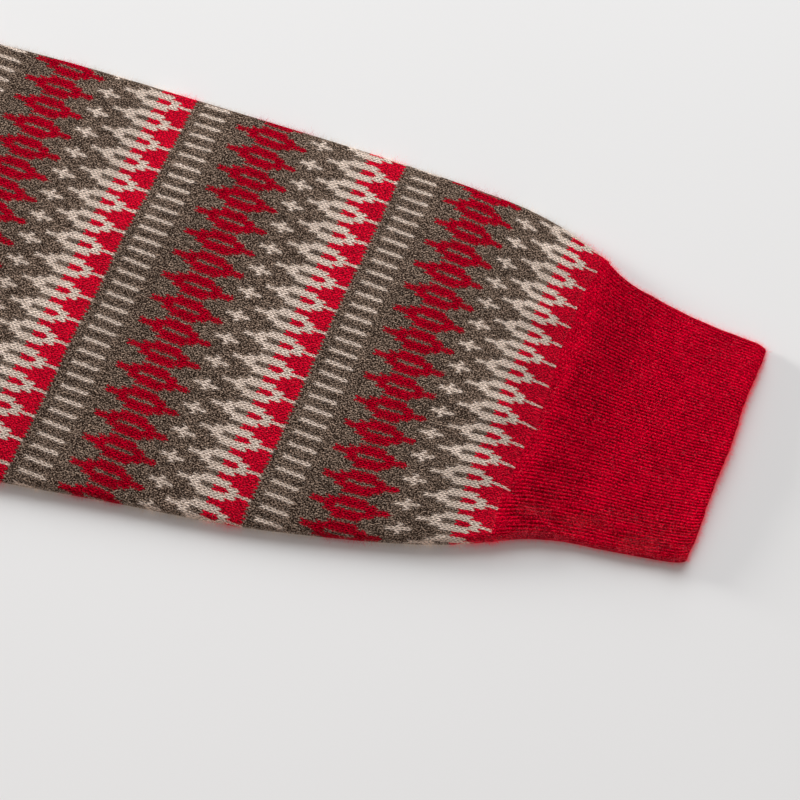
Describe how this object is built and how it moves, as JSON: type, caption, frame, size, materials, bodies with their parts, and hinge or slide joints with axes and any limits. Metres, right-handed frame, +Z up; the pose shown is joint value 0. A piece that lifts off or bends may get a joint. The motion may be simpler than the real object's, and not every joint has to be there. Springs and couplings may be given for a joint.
{
  "type": "cashmere sweater laid flat",
  "caption": "Crew-neck pullover in fine stranded knit with ribbed cuffs, hem and neckband, laid flat with its front up and its sleeves spread",
  "frame": {"origin": "on the surface that the sweater lies on, under the middle of its bounding box", "axes": "+X toward the wearer's left sleeve, along the longest extent; +Y toward the neck; +Z up, out of the garment's front, along the shortest extent"},
  "size_m": [1.4738, 0.6895, 0.0087],
  "materials": {
    "stranded_knit": "matte, napped stranded cashmere in heather grey-brown, cream and red",
    "red_rib": "matte, napped cashmere rib in bright red"
  },
  "bodies": {
    "root": {"body_front": "stranded_knit", "body_back": "stranded_knit", "sleeve_left": "stranded_knit", "sleeve_right": "stranded_knit", "cuff_left": "red_rib", "cuff_right": "red_rib", "hem_rib": "red_rib", "neckband": "red_rib"}
  },
  "joints": []
}
